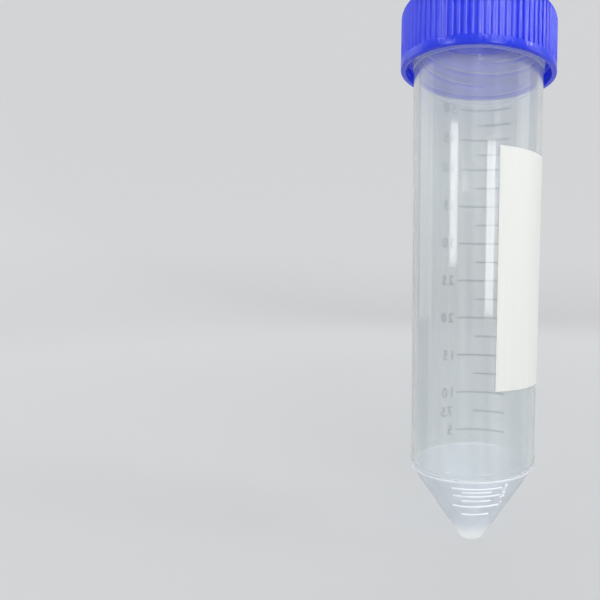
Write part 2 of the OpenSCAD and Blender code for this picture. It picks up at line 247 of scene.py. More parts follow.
def moulded_polypropylene(name, clear, roughness, milk):
    """Polypropylene of some clearness, with two limits of roughness and two shades of its milky white"""
    material, tree = new_material(name)
    place = add_node(tree, "ShaderNodeTexCoord", {})
    cloud = add_node(tree, "ShaderNodeTexNoise", {
        "Vector": place.outputs["Object"], "Scale": 1 / CLOUD_SIZE, "Detail": 3, "Roughness": 0.55})
    stretched = add_node(tree, "ShaderNodeMapping", {
        "Vector": place.outputs["Object"], "Scale": (1 / FLOW_WIDTH, 1 / FLOW_WIDTH, 1 / FLOW_LENGTH)})
    flow = add_node(tree, "ShaderNodeTexNoise", {
        "Vector": stretched.outputs["Vector"], "Scale": 1, "Detail": 2, "Roughness": 0.5})
    thin_wall = add_node(tree, "ShaderNodeMix", {
        "Factor": flow.outputs["Fac"], "A": tint(milk[0]), "B": tint(milk[1])}, data_type="RGBA")
    height = add_node(tree, "ShaderNodeSeparateXYZ", {"Vector": place.outputs["Object"]})
    thick = add_node(tree, "ShaderNodeMapRange", {
        "Value": height.outputs["Z"], "From Min": TIP_SOLID_Z, "From Max": TIP_THIN_Z,
        "To Min": 1, "To Max": 0})
    white = add_node(tree, "ShaderNodeMix", {
        "Factor": thick.outputs["Result"], "A": thin_wall.outputs["Result"], "B": tint("#FFFFFF")},
        data_type="RGBA")
    polish = add_node(tree, "ShaderNodeMapRange", {
        "Value": cloud.outputs["Fac"], "From Min": 0.3, "From Max": 0.7,
        "To Min": roughness[0], "To Max": roughness[1]})
    waver = add_node(tree, "ShaderNodeBump", {
        "Height": flow.outputs["Fac"], "Strength": 0.15, "Distance": 0.02 * MM})
    plastic = add_node(tree, "ShaderNodeBsdfPrincipled", {
        "Base Color": white.outputs["Result"], "Roughness": polish.outputs["Result"],
        "Normal": waver.outputs["Normal"], "IOR": 1.49, "Transmission Weight": clear})
    through = add_node(tree, "ShaderNodeBsdfTransparent", {"Color": tint("#F1F3F3")})
    rays = add_node(tree, "ShaderNodeLightPath", {})
    lit = add_node(tree, "ShaderNodeMixShader", {
        "Fac": rays.outputs["Is Shadow Ray"], 1: plastic.outputs["BSDF"], 2: through.outputs["BSDF"]})
    add_node(tree, "ShaderNodeOutputMaterial", {"Surface": lit.outputs["Shader"]})
    return material


SHINY = (0.05, 0.08)
polished = moulded_polypropylene("natural_polypropylene_polished", 0.86, SHINY, ("#DADFE1", "#FBFCFC"))
# The dull finish also paints a highlight line on the flare's step, and the coarse one paints white highlight
# lines on the shoulder and on the ridges' flanks.
dull_and_painted_highlight = moulded_polypropylene("natural_polypropylene_dull_and_painted_highlight", 0.6, (0.35, 0.45), ("#DCE0E6", "#F0F2F6"))
coarse_and_painted_highlight = moulded_polypropylene("natural_polypropylene_coarse_and_painted_highlight", 0, (0.4, 0.5), ("#F1F3F8", "#FCFDFF"))
hazy = moulded_polypropylene("natural_polypropylene_hazy", 0.55, SHINY, ("#E6E9EC", "#FBFCFC"))
print("polypropylene finishes:", polished.name, hazy.name, dull_and_painted_highlight.name, coarse_and_painted_highlight.name)

# %% [markdown]
# ## Blue polyethylene
# The cap is high-density polyethylene with a strong blue pigment, moulded in a lightly grained tool. It is
# waxy: satin rather than glossy, with a broad pale sheen. Some light enters and comes out a millimetre
# further on, mostly blue, so the grooves stay bright and the thin skirt glows on its inside. The skirt also
# lets a part of the lamps' light through to the neck. The grain is a fraction of a millimetre, and the
# pigment is not perfectly even.

# %% Blue polyethylene
polyethylene, tree = new_material("blue_polyethylene_moulded")
place = add_node(tree, "ShaderNodeTexCoord", {})
streaks = add_node(tree, "ShaderNodeTexNoise", {
    "Vector": place.outputs["Object"], "Scale": 1 / (5 * MM), "Detail": 4, "Roughness": 0.6})
pigment = add_node(tree, "ShaderNodeMix", {
    "Factor": streaks.outputs["Fac"], "A": tint("#1A37DE"), "B": tint("#2241EA")}, data_type="RGBA")
grain = add_node(tree, "ShaderNodeTexNoise", {
    "Vector": place.outputs["Object"], "Scale": 1 / (0.3 * MM), "Detail": 2})
satin = add_node(tree, "ShaderNodeMapRange", {
    "Value": streaks.outputs["Fac"], "From Min": 0.3, "From Max": 0.7, "To Min": 0.17, "To Max": 0.23})
relief = add_node(tree, "ShaderNodeBump", {
    "Height": grain.outputs["Fac"], "Strength": 0.08, "Distance": 0.02 * MM})
wax = add_node(tree, "ShaderNodeBsdfPrincipled", {
    "Base Color": pigment.outputs["Result"], "Roughness": satin.outputs["Result"],
    "Normal": relief.outputs["Normal"], "IOR": 1.54, "Specular IOR Level": 0.4,
    "Subsurface Weight": 1, "Subsurface Radius": (0.08, 0.15, 1), "Subsurface Scale": 2.2 * MM})
through = add_node(tree, "ShaderNodeBsdfTransparent", {"Color": tint("#C8CADC")})
rays = add_node(tree, "ShaderNodeLightPath", {})
lit = add_node(tree, "ShaderNodeMixShader", {
    "Fac": rays.outputs["Is Shadow Ray"], 1: wax.outputs["BSDF"], 2: through.outputs["BSDF"]})
add_node(tree, "ShaderNodeOutputMaterial", {"Surface": lit.outputs["Shader"]})
print(polyethylene.name, len(tree.nodes), "nodes")

# %% [markdown]
# ## Drawing an outline
# A round piece is a drawn outline that is spun about the axis, as on a lathe. The outline is drawn as by
# hand: a small plane is merged to a single point, the point is moved to the first corner, and then it is
# extruded from corner to corner. Corners are rounded afterwards, with a bevel on the corner points.

# %% Drawing an outline
# Points closer than this are one point
MERGE = 0.001 * MM


def begin_at(name, corner):
    """A new piece that is one point, in edit mode"""
    bpy.ops.object.select_all(action="DESELECT")
    bpy.ops.mesh.primitive_plane_add(size=MM)
    piece = bpy.context.object
    piece.name = name
    piece.data.name = name
    bpy.ops.object.mode_set(mode="EDIT")
    bpy.ops.mesh.select_mode(type="VERT")
    bpy.ops.mesh.select_all(action="SELECT")
    bpy.ops.mesh.merge(type="CENTER")
    bpy.ops.transform.translate(value=corner)
    return piece


def draw(name, corners):
    """A new piece whose points are joined in order. Corners are in millimetres."""
    places = [Vector(c) * MM for c in corners]
    piece = begin_at(name, places[0])
    for here, there in zip(places, places[1:]):
        bpy.ops.mesh.extrude_vertices_move(TRANSFORM_OT_translate={"value": there - here})
    return piece


def select_points(piece, test):
    """Selects the points of a piece in edit mode whose place in millimetres passes a test"""
    mesh = bmesh.from_edit_mesh(piece.data)
    bpy.ops.mesh.select_all(action="DESELECT")
    for point in mesh.verts:
        point.select = test(point.co / MM)
    mesh.select_flush_mode()
    return sum(point.select for point in mesh.verts)


def round_corner(piece, corner, reach, segments):
    """Rounds one corner of an outline. reach is how far from the corner the rounding starts."""
    found = select_points(piece, lambda co: (co - Vector(corner)).length < 0.01)
    bpy.ops.mesh.bevel(offset=reach * MM, segments=segments, affect="VERTICES")
    return found


def spin_selected(steps, degrees):
    """Spins what is selected about the axis, anticlockwise seen from above"""
    bpy.ops.mesh.spin(steps=steps, angle=-math.radians(degrees), center=(0, 0, 0), axis=(0, 0, 1))


def close_shell():
    """Merges seams and poles and turns all faces outwards"""
    bpy.ops.mesh.select_all(action="SELECT")
    bpy.ops.mesh.remove_doubles(threshold=MERGE)
    bpy.ops.mesh.normals_make_consistent(inside=False)


# %% [markdown]
# ## The tube
# One outline holds the whole tube: the flat of the tip, the cone, the fine ring that the tool's parting
# leaves just over the cone, the barrel that widens a little towards the top so that it leaves its mould,
# the gentle flare under the cap, the neck, the lip, and back down the inside one wall further in.

# %% The tube
TURN_STEPS = 256
TIP_R = 2.45
SHOULDER_R = 13.75
SHOULDER_Z = 16.6
DRAFT = 0.85
FLARE_Z = 104.0
FLARE_EDGE = 0.25
NECK_R = 15.0
FLARE_R = 14.72
MOUTH_Z = 115
# Heights of the fine ring's corners, and how far each stands out
FINE_RING = [(18.05, 0), (18.2, 0.12), (18.4, 0.12), (18.55, 0)]
# Inner radius at the tip, and the height of the floor there
TIP_IN_R = 1.865
TIP_IN_Z = 1.1
# Corners as radius, zero and height: the neck's foot, both edges of the mouth, and the bore's lower end
NECK_FOOT = (NECK_R, 0, 106.2)
MOUTH_OUT = (NECK_R, 0, MOUTH_Z)
MOUTH_IN = (13.607, 0, MOUTH_Z)
BORE_END = (12.653, 0, 16.938)


def barrel_r(z):
    """Outer radius of the drafted barrel at a height"""
    return SHOULDER_R + DRAFT * (z - SHOULDER_Z) / (FLARE_Z - SHOULDER_Z)


def bore_r(z):
    """Inner radius of the barrel at a height"""
    share = (z - BORE_END[2]) / (MOUTH_Z - BORE_END[2])
    return BORE_END[0] + (MOUTH_IN[0] - BORE_END[0]) * share


tube = draw("tube_moulding", [
    # The tip and the cone
    (0, 0, 0), (TIP_R, 0, 0), (SHOULDER_R, 0, SHOULDER_Z),
    # The fine ring
    *[(barrel_r(z) + step_out, 0, z) for z, step_out in FINE_RING],
    # The flare, the neck and the mouth
    (barrel_r(FLARE_Z - FLARE_EDGE), 0, FLARE_Z - FLARE_EDGE), (FLARE_R, 0, FLARE_Z),
    NECK_FOOT, MOUTH_OUT,
    # The inside
    MOUTH_IN, BORE_END, (TIP_IN_R, 0, TIP_IN_Z), (0, 0, TIP_IN_Z)])
for corner, reach, segments in [
        ((TIP_R, 0, 0), 0.53, 6), ((SHOULDER_R, 0, SHOULDER_Z), 0.3, 5), (NECK_FOOT, 0.14, 2),
        (MOUTH_OUT, 0.275, 5), (MOUTH_IN, 0.275, 5), (BORE_END, 0.3, 5)]:
    if not round_corner(tube, corner, reach, segments):
        print("no corner at", corner)
bpy.ops.mesh.select_all(action="SELECT")
spin_selected(TURN_STEPS, 360)
close_shell()
bpy.ops.object.mode_set(mode="OBJECT")
print(tube.name, len(tube.data.polygons), "faces")

# %% [markdown]
# ## Screw threads
# The neck carries two ridges that start opposite each other and climb six millimetres a turn. Each is a
# four-cornered section that a Screw modifier sweeps round and up. The ends of a moulded ridge run out
# gently, so the crest is scaled towards the foot near both ends. The same function makes the cap's thread.

# %% Screw threads
THREAD_LEAD = 6.0
THREAD_LOW_Z = 106.0
THREAD_HIGH_Z = 112.4
THREAD_TURNS = (THREAD_HIGH_Z - THREAD_LOW_Z) / THREAD_LEAD
THREAD_STEPS = 75
THREAD_STARTS = [math.radians(74), math.radians(254)]
# Half the width of a ridge at its foot and its crest, its height over the wall, and its root in the wall
FOOT_HALF = 0.65
CREST_HALF = 0.35
RIDGE_H = 0.95
RIDGE_ROOT = 0.3
# Share of the ridge over which an end runs out, and the share of its height that is left at the very end
RUN_OUT = 0.12
END_LEFT = 0.1


def ridge(name, foot_r, crest_r, low_z, start):
    """One helical ridge between two radii, from a height and an angle on"""
    piece = draw(name, [
        (foot_r, 0, low_z - FOOT_HALF), (crest_r, 0, low_z - CREST_HALF),
        (crest_r, 0, low_z + CREST_HALF), (foot_r, 0, low_z + FOOT_HALF)])
    bpy.ops.mesh.select_all(action="SELECT")
    bpy.ops.mesh.edge_face_add()
    bpy.ops.mesh.delete(type="ONLY_FACE")
    bpy.ops.object.mode_set(mode="OBJECT")
    sweep = piece.modifiers.new("sweep", "SCREW")
    sweep.angle = math.radians(360 * THREAD_TURNS)
    sweep.screw_offset = THREAD_LEAD * THREAD_TURNS * MM
    sweep.steps = THREAD_STEPS
    sweep.render_steps = THREAD_STEPS
    bpy.ops.object.modifier_apply(modifier=sweep.name)
    bpy.ops.object.mode_set(mode="EDIT")
    bpy.ops.mesh.select_all(action="SELECT")
    bpy.ops.mesh.fill_holes(sides=4)
    for step in range(THREAD_STEPS + 1):
        along = step / THREAD_STEPS
        left = END_LEFT + (1 - END_LEFT) * min(1, along / RUN_OUT, (1 - along) / RUN_OUT)
        if left < 1:
            middle_z = low_z + THREAD_LEAD * THREAD_TURNS * along
            select_points(piece, lambda co: abs(math.hypot(co.x, co.y) - crest_r) < 0.01
                          and abs(abs(co.z - middle_z) - CREST_HALF) < 0.01)
            near = (foot_r + (crest_r - foot_r) * left) / crest_r
            bpy.ops.transform.resize(value=(near, near, 1), center_override=(0, 0, 0))
    bpy.ops.mesh.select_all(action="SELECT")
    bpy.ops.transform.rotate(value=-start, orient_axis="Z", center_override=(0, 0, 0))
    bpy.ops.mesh.normals_make_consistent(inside=False)
    bpy.ops.object.mode_set(mode="OBJECT")
    return piece


neck_ridges = [ridge("neck_ridge", NECK_R - RIDGE_ROOT, NECK_R + RIDGE_H, THREAD_LOW_Z, start)
               for start in THREAD_STARTS]
print("neck ridges", [len(r.data.polygons) for r in neck_ridges])

# %% [markdown]
# ## Raised marks on the cone
# Lines and figures for half a millilitre to three stand out from the cone by a quarter of a millimetre.
# They catch the light as white strokes. A line is a small section that is spun through a part of a turn. A
# figure is a text object with some thickness and rounded edges, made a mesh and laid on the cone's slope.
# One more fine line, inside the wall on the far side just below the cap, is made like the lines.

# %% Raised lines on the cone
CONE_SLOPE = (SHOULDER_R - TIP_R) / SHOULDER_Z
CONE_TILT = math.atan(CONE_SLOPE)
MARK_LOW_Z = 7.9
MARK_HIGH_Z = 15.0
MARK_AZIMUTH = 5
# Length of each line by its volume, and the corners of its section as steps out of the cone and up its slope
MARK_LENGTHS = {0.5: 5.6, 1: 9.2, 1.5: 5.8, 2: 9.5, 2.5: 6.0, 3: 10.2}
MARK_SECTION = [(-0.3, -0.25), (0.1, -0.23), (0.22, -0.12), (0.22, 0.12), (0.1, 0.23), (-0.3, 0.25)]


def cone_r(z):
    """Outer radius of the cone at a height"""
    return TIP_R + CONE_SLOPE * z


def mark_z(volume):
    """Height of a raised line: inside a cone, height goes with the cube root of the volume"""
    least, most = 0.5 ** (1 / 3), 3 ** (1 / 3)
    return MARK_LOW_Z + (MARK_HIGH_Z - MARK_LOW_Z) * (volume ** (1 / 3) - least) / (most - least)


def arc_ridge(name, section, start, span):
    """A small section that is spun from one angle through another, both in degrees"""
    piece = draw(name, section)
    bpy.ops.mesh.select_all(action="SELECT")
    bpy.ops.mesh.edge_face_add()
    bpy.ops.transform.rotate(value=-math.radians(start), orient_axis="Z", center_override=(0, 0, 0))
    spin_selected(max(24, round(span)), span)
    bpy.ops.mesh.select_all(action="SELECT")
    bpy.ops.mesh.normals_make_consistent(inside=False)
    bpy.ops.object.mode_set(mode="OBJECT")
    return piece


def raised_line(volume):
    """A raised line on the front of the cone"""
    z = mark_z(volume)
    length = MARK_LENGTHS[volume]
    middle = Vector((cone_r(z), 0, z))
    out = Vector((math.cos(CONE_TILT), 0, -math.sin(CONE_TILT)))
    up = Vector((math.sin(CONE_TILT), 0, math.cos(CONE_TILT)))
    span = math.degrees(2 * math.asin(length / 2 / middle.x))
    section = [middle + out * step_out + up * step_up for step_out, step_up in MARK_SECTION]
    return arc_ridge("raised_line", section, -90 + MARK_AZIMUTH - span / 2, span)


marks = [raised_line(volume) for volume in MARK_LENGTHS]
print("raised lines at", [round(mark_z(volume), 1) for volume in MARK_LENGTHS], "mm")

# %% Raised figures on the cone
# Height of a raised figure, its thickness, the rounding of its edges and its distance from the line
RAISED_H = 1.8
RAISED_THICK = 0.5
RAISED_EDGE = 0.08
RAISED_GAP = 0.4
# Height of the font's figures as a share of the text size
FIGURE_TALL = 0.69


def figure(name, text, height, thick=0, edge=0, spacing=1):
    """A figure as a mesh round its own middle. Height, thickness and edge rounding are in millimetres."""
    bpy.ops.object.select_all(action="DESELECT")
    bpy.ops.object.text_add()
    piece = bpy.context.object
    piece.name = name
    piece.data.body = text
    piece.data.size = height / FIGURE_TALL * MM
    piece.data.extrude = (thick / 2 - edge) * MM
    piece.data.bevel_depth = edge * MM
    piece.data.bevel_resolution = 1
    piece.data.offset = -edge * MM
    piece.data.space_character = spacing
    piece.data.resolution_u = 5
    bpy.ops.object.convert(target="MESH")
    bpy.ops.object.origin_set(type="ORIGIN_GEOMETRY", center="BOUNDS")
    piece = bpy.context.object
    bpy.ops.object.mode_set(mode="EDIT")
    bpy.ops.mesh.select_all(action="SELECT")
    bpy.ops.mesh.remove_doubles(threshold=MERGE)
    bpy.ops.object.mode_set(mode="OBJECT")
    return piece


def raised_figure(volume):
    """A raised figure on the cone, to the right of its line"""
    z = mark_z(volume)
    r = cone_r(z)
    piece = figure("raised_figure", str(volume), RAISED_H, thick=RAISED_THICK, edge=RAISED_EDGE)
    aside = RAISED_GAP * MM + piece.dimensions.x / 2
    azimuth = math.radians(MARK_AZIMUTH) + math.asin(MARK_LENGTHS[volume] / 2 / r) + aside / (r * MM)
    piece.location = Vector((r * math.sin(azimuth), -r * math.cos(azimuth), z)) * MM
    piece.rotation_euler = (math.pi / 2 + CONE_TILT, 0, azimuth)
    bpy.ops.object.transform_apply(location=True, rotation=True, scale=True)
    return piece


marks += [raised_figure(volume) for volume in (1, 2, 3)]
print(len(marks), "raised marks")

# %% The line inside the wall
INNER_LINE_Z = 101.3
# The start lies between two of the wall's own upright edges, so that the union leaves no slivers
INNER_LINE_START = 22.3
INNER_LINE_SPAN = 120
# Corners of its section as steps out of the bore and up
INNER_SECTION = [(0.3, -0.22), (-0.12, -0.15), (-0.12, 0.15), (0.3, 0.22)]
inner_corners = [(bore_r(INNER_LINE_Z) + step_out, 0, INNER_LINE_Z + step_up)
                 for step_out, step_up in INNER_SECTION]
inner_line = arc_ridge("inner_line", inner_corners, INNER_LINE_START, INNER_LINE_SPAN)
marks.append(inner_line)
print(inner_line.name, len(inner_line.data.polygons), "faces")

# %% [markdown]
# ## One moulding
# In the tool the ridges and marks are filled together with the wall, so there is no surface between them.
# A Boolean union joins them the same way, which matters here because light passes through the wall and
# would show every hidden face. Then the shell is closed once more, so that all its faces look outwards. The
# union keeps the marks' own finish, and five small tests find the other faces with a finish of their own.
# On three thin bands, the shoulder's rounding, the ridges' flanks and the flare's step, that white or milky
# finish is a painted highlight for the bright lines that light makes there. On the flanks it is also the
# thicker plastic's own white.
# Shading is smooth except at sharp edges, and a Weighted Normal modifier keeps the long barrel straight in
# its reflections: without it the small slopes of the fine ring would bend the shading all the way up.

# %% One moulding
def join_pieces(pieces, name):
    """Joins pieces that don't touch into one object"""
    bpy.ops.object.select_all(action="DESELECT")
    for piece in pieces:
        piece.select_set(True)
    bpy.context.view_layer.objects.active = pieces[0]
    bpy.ops.object.join()
    pieces[0].name = name
    return pieces[0]


def unite(piece, added):
    """Unites a piece with a second one, which is used up"""
    union = piece.modifiers.new("union", "BOOLEAN")
    union.operation = "UNION"
    union.solver = "EXACT"
    union.material_mode = "TRANSFER"
    union.object = added
    bpy.ops.object.select_all(action="DESELECT")
    bpy.context.view_layer.objects.active = piece
    piece.select_set(True)
    bpy.ops.object.modifier_apply(modifier=union.name)
    bpy.data.objects.remove(added)


def coat(pieces, material):
    """Gives pieces one material"""
    for piece in pieces:
        piece.data.materials.clear()
        piece.data.materials.append(material)


coat([tube] + neck_ridges, polished)
coat(marks, coarse_and_painted_highlight)
unite(tube, join_pieces(neck_ridges + marks, "raised_detail"))
bpy.ops.object.mode_set(mode="EDIT")
close_shell()
bpy.ops.object.mode_set(mode="OBJECT")
print(tube.name, len(tube.data.polygons), "faces with ridges and marks")

# %% Coats and shading
def coat_part(piece, material, test):
    """Gives one more material to the first one's faces whose middle in millimetres and normal pass a test"""
    piece.data.materials.append(material)
    piece.active_material_index = len(piece.data.materials) - 1
    bpy.ops.object.mode_set(mode="EDIT")
    bpy.ops.mesh.select_mode(type="FACE")
    for face in bmesh.from_edit_mesh(piece.data).faces:
        face.select = face.material_index == 0 and test(face.calc_center_median() / MM, face.normal)
    bpy.ops.object.material_slot_assign()
    bpy.ops.object.mode_set(mode="OBJECT")


def shade(piece, sharp):
    """Smooth shading in which broad faces look flat up to their edges. Edges over an angle stay sharp."""
    bpy.ops.object.select_all(action="DESELECT")
    bpy.context.view_layer.objects.active = piece
    piece.select_set(True)
    bpy.ops.object.shade_smooth_by_angle(angle=math.radians(sharp))
    broad = piece.modifiers.new("broad", "WEIGHTED_NORMAL")
    broad.mode = "FACE_AREA"
    broad.weight = 50
    broad.keep_sharp = True
    bpy.ops.object.modifier_apply(modifier=broad.name)


# %% The tube's finishes
SHOULDER_HIGHLIGHT_BAND = 0.32
RIDGES_LOW_Z = 105
RIDGES_HIGH_Z = 114
# A flank's normal leans up or down by at least this
FLANK_LEAN = 0.7
# Radii between the inner and the outer wall, at the shoulder, the flare's edge and the neck
SHOULDER_WALL_R = 13.2
FLARE_WALL_R = 14
NECK_WALL_R = 14.2
# The neck's own wall lies inside this radius, and its ridges stand outside it
RIDGES_R = NECK_R + 0.05


def on_shoulder(co, out):
    """The rounded outer edge between cone and barrel, where a white finish paints its bright line: a painted
    highlight
    """
    return abs(co.z - SHOULDER_Z) < SHOULDER_HIGHLIGHT_BAND and co.xy.length > SHOULDER_WALL_R


def on_flank(co, out):
    """The upper and lower flanks of the neck's ridges. Their white is partly the thicker plastic's own and
    partly a painted highlight that makes the ridges show as bright lines.
    """
    on_ridge = RIDGES_LOW_Z < co.z < RIDGES_HIGH_Z and co.xy.length > RIDGES_R
    return on_ridge and abs(out.z) > FLANK_LEAN


def on_cone(co, out):
    """The cone and its tip, inside and outside"""
    return co.z < SHOULDER_Z


def on_flare_edge(co, out):
    """The small step where the flare starts, whose milkier finish paints its bright edge line: a painted
    highlight
    """
    return FLARE_Z - FLARE_EDGE < co.z < FLARE_Z and co.xy.length > FLARE_WALL_R


def on_neck(co, out):
    """The outer wall of the flare and the neck, between the ridges"""
    return co.z > FLARE_Z and NECK_WALL_R < co.xy.length < RIDGES_R


# The shoulder, the ridges' flanks and the flare's step get a white or milky band as a painted highlight
for finish, test in [
        (coarse_and_painted_highlight, on_shoulder), (coarse_and_painted_highlight, on_flank), (dull_and_painted_highlight, on_cone), (dull_and_painted_highlight, on_flare_edge), (hazy, on_neck)]:
    coat_part(tube, finish, test)
shade(tube, 40)
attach(tube, "tube")
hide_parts("tube_body")
print("finishes:", [slot.name for slot in tube.data.materials])

# %% [markdown]
# ## The cap
# The skirt has 78 ribs. One rib's width of the whole cap is modelled once, as a narrow slice: a short line
# across one groove is extruded over the top's edge, down the ribs, under the rim and up the inside. Where
# the groove is, its points are scaled in towards the axis. Spin then copies the slice round the axis, and
# merging the seams makes it one shell.

# %% One slice of the cap
RIB_COUNT = 78
CAP_R = 17.5
GROOVE_DEPTH = 0.45
RIB_HALF = math.pi * CAP_R / RIB_COUNT
# Places across a slice, in millimetres from the groove's middle, and the share of the groove's depth there
RIB_SECTION = [(RIB_HALF, 0), (0.53, 0.06), (0.405, 0.2), (0.305, 0.4), (0.24, 0.63), (0.205, 1)]
slice_points = [(-x, share) for x, share in RIB_SECTION] + [(x, share) for x, share in RIB_SECTION[::-1]]
TOP_ROUND = 2.2
CAP_TOP_Z = 117.0
# Turns at which points lie on the top's rounded edge, in degrees from level
EDGE_TURNS = (75, 60, 50, 37.3, 28, 18, 9, 0)
# Inside the cap: radius of the skirt, height of the ceiling, and the plug's radii and lower end
SKIRT_R = 16.3
CEILING_Z = 115.8
PLUG_OUT_R = 13.307
PLUG_IN_R = 12.307
PLUG_LOW_Z = 113.4
RIM_Z = 103.5


def top_edge(degrees):
    """Radius and height on the rounded edge of the cap's top"""
    turn = math.radians(degrees)
    return (CAP_R - TOP_ROUND + TOP_ROUND * math.cos(turn),
            CAP_TOP_Z - TOP_ROUND + TOP_ROUND * math.sin(turn))


GROOVE_FLOOR_R = CAP_R - GROOVE_DEPTH
# Radius, height and groove depth of each line of points, from the top's edge down and round to the inside
slice_lines = [(*top_edge(turn), max(0, top_edge(turn)[0] - GROOVE_FLOOR_R)) for turn in EDGE_TURNS]
# The grooves' lower ends and the smooth band
slice_lines += [(CAP_R, 105.4, GROOVE_DEPTH), (CAP_R, 105.28, 0.3), (CAP_R, 105.2, 0), (CAP_R, 103.75, 0)]
# Round under the rim
slice_lines += [(17.427, 103.573, 0), (17.25, RIM_Z, 0), (16.55, RIM_Z, 0), (16.373, 103.573, 0)]
# Up the skirt's inside and along the ceiling
slice_lines += [(SKIRT_R, 103.75, 0), (SKIRT_R, CEILING_Z, 0), (PLUG_OUT_R, CEILING_Z, 0)]
# Down the plug and round its lower edge
slice_lines += [(PLUG_OUT_R, 113.733, 0), (13.209, 113.498, 0), (12.974, PLUG_LOW_Z, 0)]
# Up the plug's inside and to the axis
slice_lines += [(PLUG_IN_R, PLUG_LOW_Z, 0), (PLUG_IN_R, CEILING_Z, 0), (0, CEILING_Z, 0)]
print("a slice has", len(slice_lines) + 1, "lines of", len(slice_points), "points")

# %% The cap's shell
start_r, start_z = top_edge(90)
cap = draw("screw_cap_moulding", [
    (start_r * math.cos(x / CAP_R), start_r * math.sin(x / CAP_R), start_z) for x, share in slice_points])
old_r, old_z, old_depth = start_r, start_z, 0
bpy.ops.mesh.select_all(action="SELECT")
for r, z, depth in slice_lines:
    bpy.ops.mesh.extrude_region_move(TRANSFORM_OT_translate={"value": (0, 0, (z - old_z) * MM)})
    mesh = bmesh.from_edit_mesh(cap.data)
    line = [point for point in mesh.verts if point.select]
    for share in sorted({share for x, share in slice_points}):
        for point in line:
            across = math.atan2(point.co.y, point.co.x) * CAP_R
            nearest = min(slice_points, key=lambda known: abs(known[0] - across))
            point.select = nearest[1] == share
        mesh.select_flush_mode()
        scale = (r - depth * share) / (old_r - old_depth * share)
        bpy.ops.transform.resize(value=(scale, scale, 1), center_override=(0, 0, 0))
        mesh = bmesh.from_edit_mesh(cap.data)
    for point in line:
        point.select = True
    mesh.select_flush_mode()
    old_r, old_z, old_depth = r, z, depth
select_points(cap, lambda co: abs(co.z - CAP_TOP_Z) < 0.001)
bpy.ops.mesh.extrude_region_move(TRANSFORM_OT_translate={"value": (0, 0, 0)})
bpy.ops.transform.resize(value=(0, 0, 1), center_override=(0, 0, 0))
bpy.ops.mesh.select_all(action="SELECT")
bpy.ops.mesh.spin(steps=RIB_COUNT - 1, dupli=True, angle=2 * math.pi * (1 - 1 / RIB_COUNT),
                  center=(0, 0, 0), axis=(0, 0, 1))
close_shell()
bpy.ops.object.mode_set(mode="OBJECT")
print(cap.name, len(cap.data.polygons), "faces")

# %% The cap's thread
# The cap's ridges lie this far under the neck's, so that they pull the cap down on the mouth
CAP_THREAD_DROP = 1.3
cap_low_z = THREAD_LOW_Z - CAP_THREAD_DROP
cap_ridges = [ridge("cap_ridge", SKIRT_R + RIDGE_ROOT, SKIRT_R - RIDGE_H, cap_low_z, start)
              for start in THREAD_STARTS]
coat([cap] + cap_ridges, polyethylene)
unite(cap, join_pieces(cap_ridges, "cap_ridges"))
shade(cap, 32)
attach(cap, "cap")
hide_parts("screw_cap")
print(cap.name, len(cap.data.polygons), "faces with its thread")

# %% [markdown]
# ## The seal ring
# A flat soft ring lies between the mouth and the cap's ceiling. It is stamped from a sheet, so its section
# is a rectangle with slightly softened corners, spun round the axis.

# %% The seal ring
elastomer, tree = new_material("white_elastomer_sheet")
place = add_node(tree, "ShaderNodeTexCoord", {})
powder = add_node(tree, "ShaderNodeTexNoise", {
    "Vector": place.outputs["Object"], "Scale": 1 / (0.6 * MM), "Detail": 3})
colour = add_node(tree, "ShaderNodeMix", {
    "Factor": powder.outputs["Fac"], "A": tint("#DDDDD8"), "B": tint("#ECECE8")}, data_type="RGBA")
relief = add_node(tree, "ShaderNodeBump", {
    "Height": powder.outputs["Fac"], "Strength": 0.3, "Distance": 0.02 * MM})
soft = add_node(tree, "ShaderNodeBsdfPrincipled", {
    "Base Color": colour.outputs["Result"], "Roughness": 0.6,
    "Normal": relief.outputs["Normal"], "IOR": 1.41})
add_node(tree, "ShaderNodeOutputMaterial", {"Surface": soft.outputs["BSDF"]})

SEAL_IN_R = 13.457
SEAL_OUT_R = 16.15
SEAL_SOFT = 0.12
seal_corners = [
    (SEAL_IN_R, 0, MOUTH_Z), (SEAL_OUT_R, 0, MOUTH_Z), (SEAL_OUT_R, 0, CEILING_Z), (SEAL_IN_R, 0, CEILING_Z)]
seal = draw("seal_ring_sheet", seal_corners)
bpy.ops.mesh.select_all(action="SELECT")
bpy.ops.mesh.edge_face_add()
bpy.ops.mesh.delete(type="ONLY_FACE")
for corner in seal_corners:
    round_corner(seal, corner, SEAL_SOFT, 3)
bpy.ops.mesh.select_all(action="SELECT")
spin_selected(128, 360)
close_shell()
bpy.ops.object.mode_set(mode="OBJECT")
coat([seal], elastomer)
shade(seal, 40)
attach(seal, "seal")
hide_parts("seal_ring")
print(seal.name, len(seal.data.polygons), "faces")

# %% [markdown]
# ## The writing patch
# An opaque white panel is screen printed on the right of the barrel, so that one can write on the tube. It
# is a layer of ink under a tenth of a millimetre thick. An upright line that follows the barrel's draft is
# spun through the patch's width, and a Solidify modifier gives it the ink's thickness.

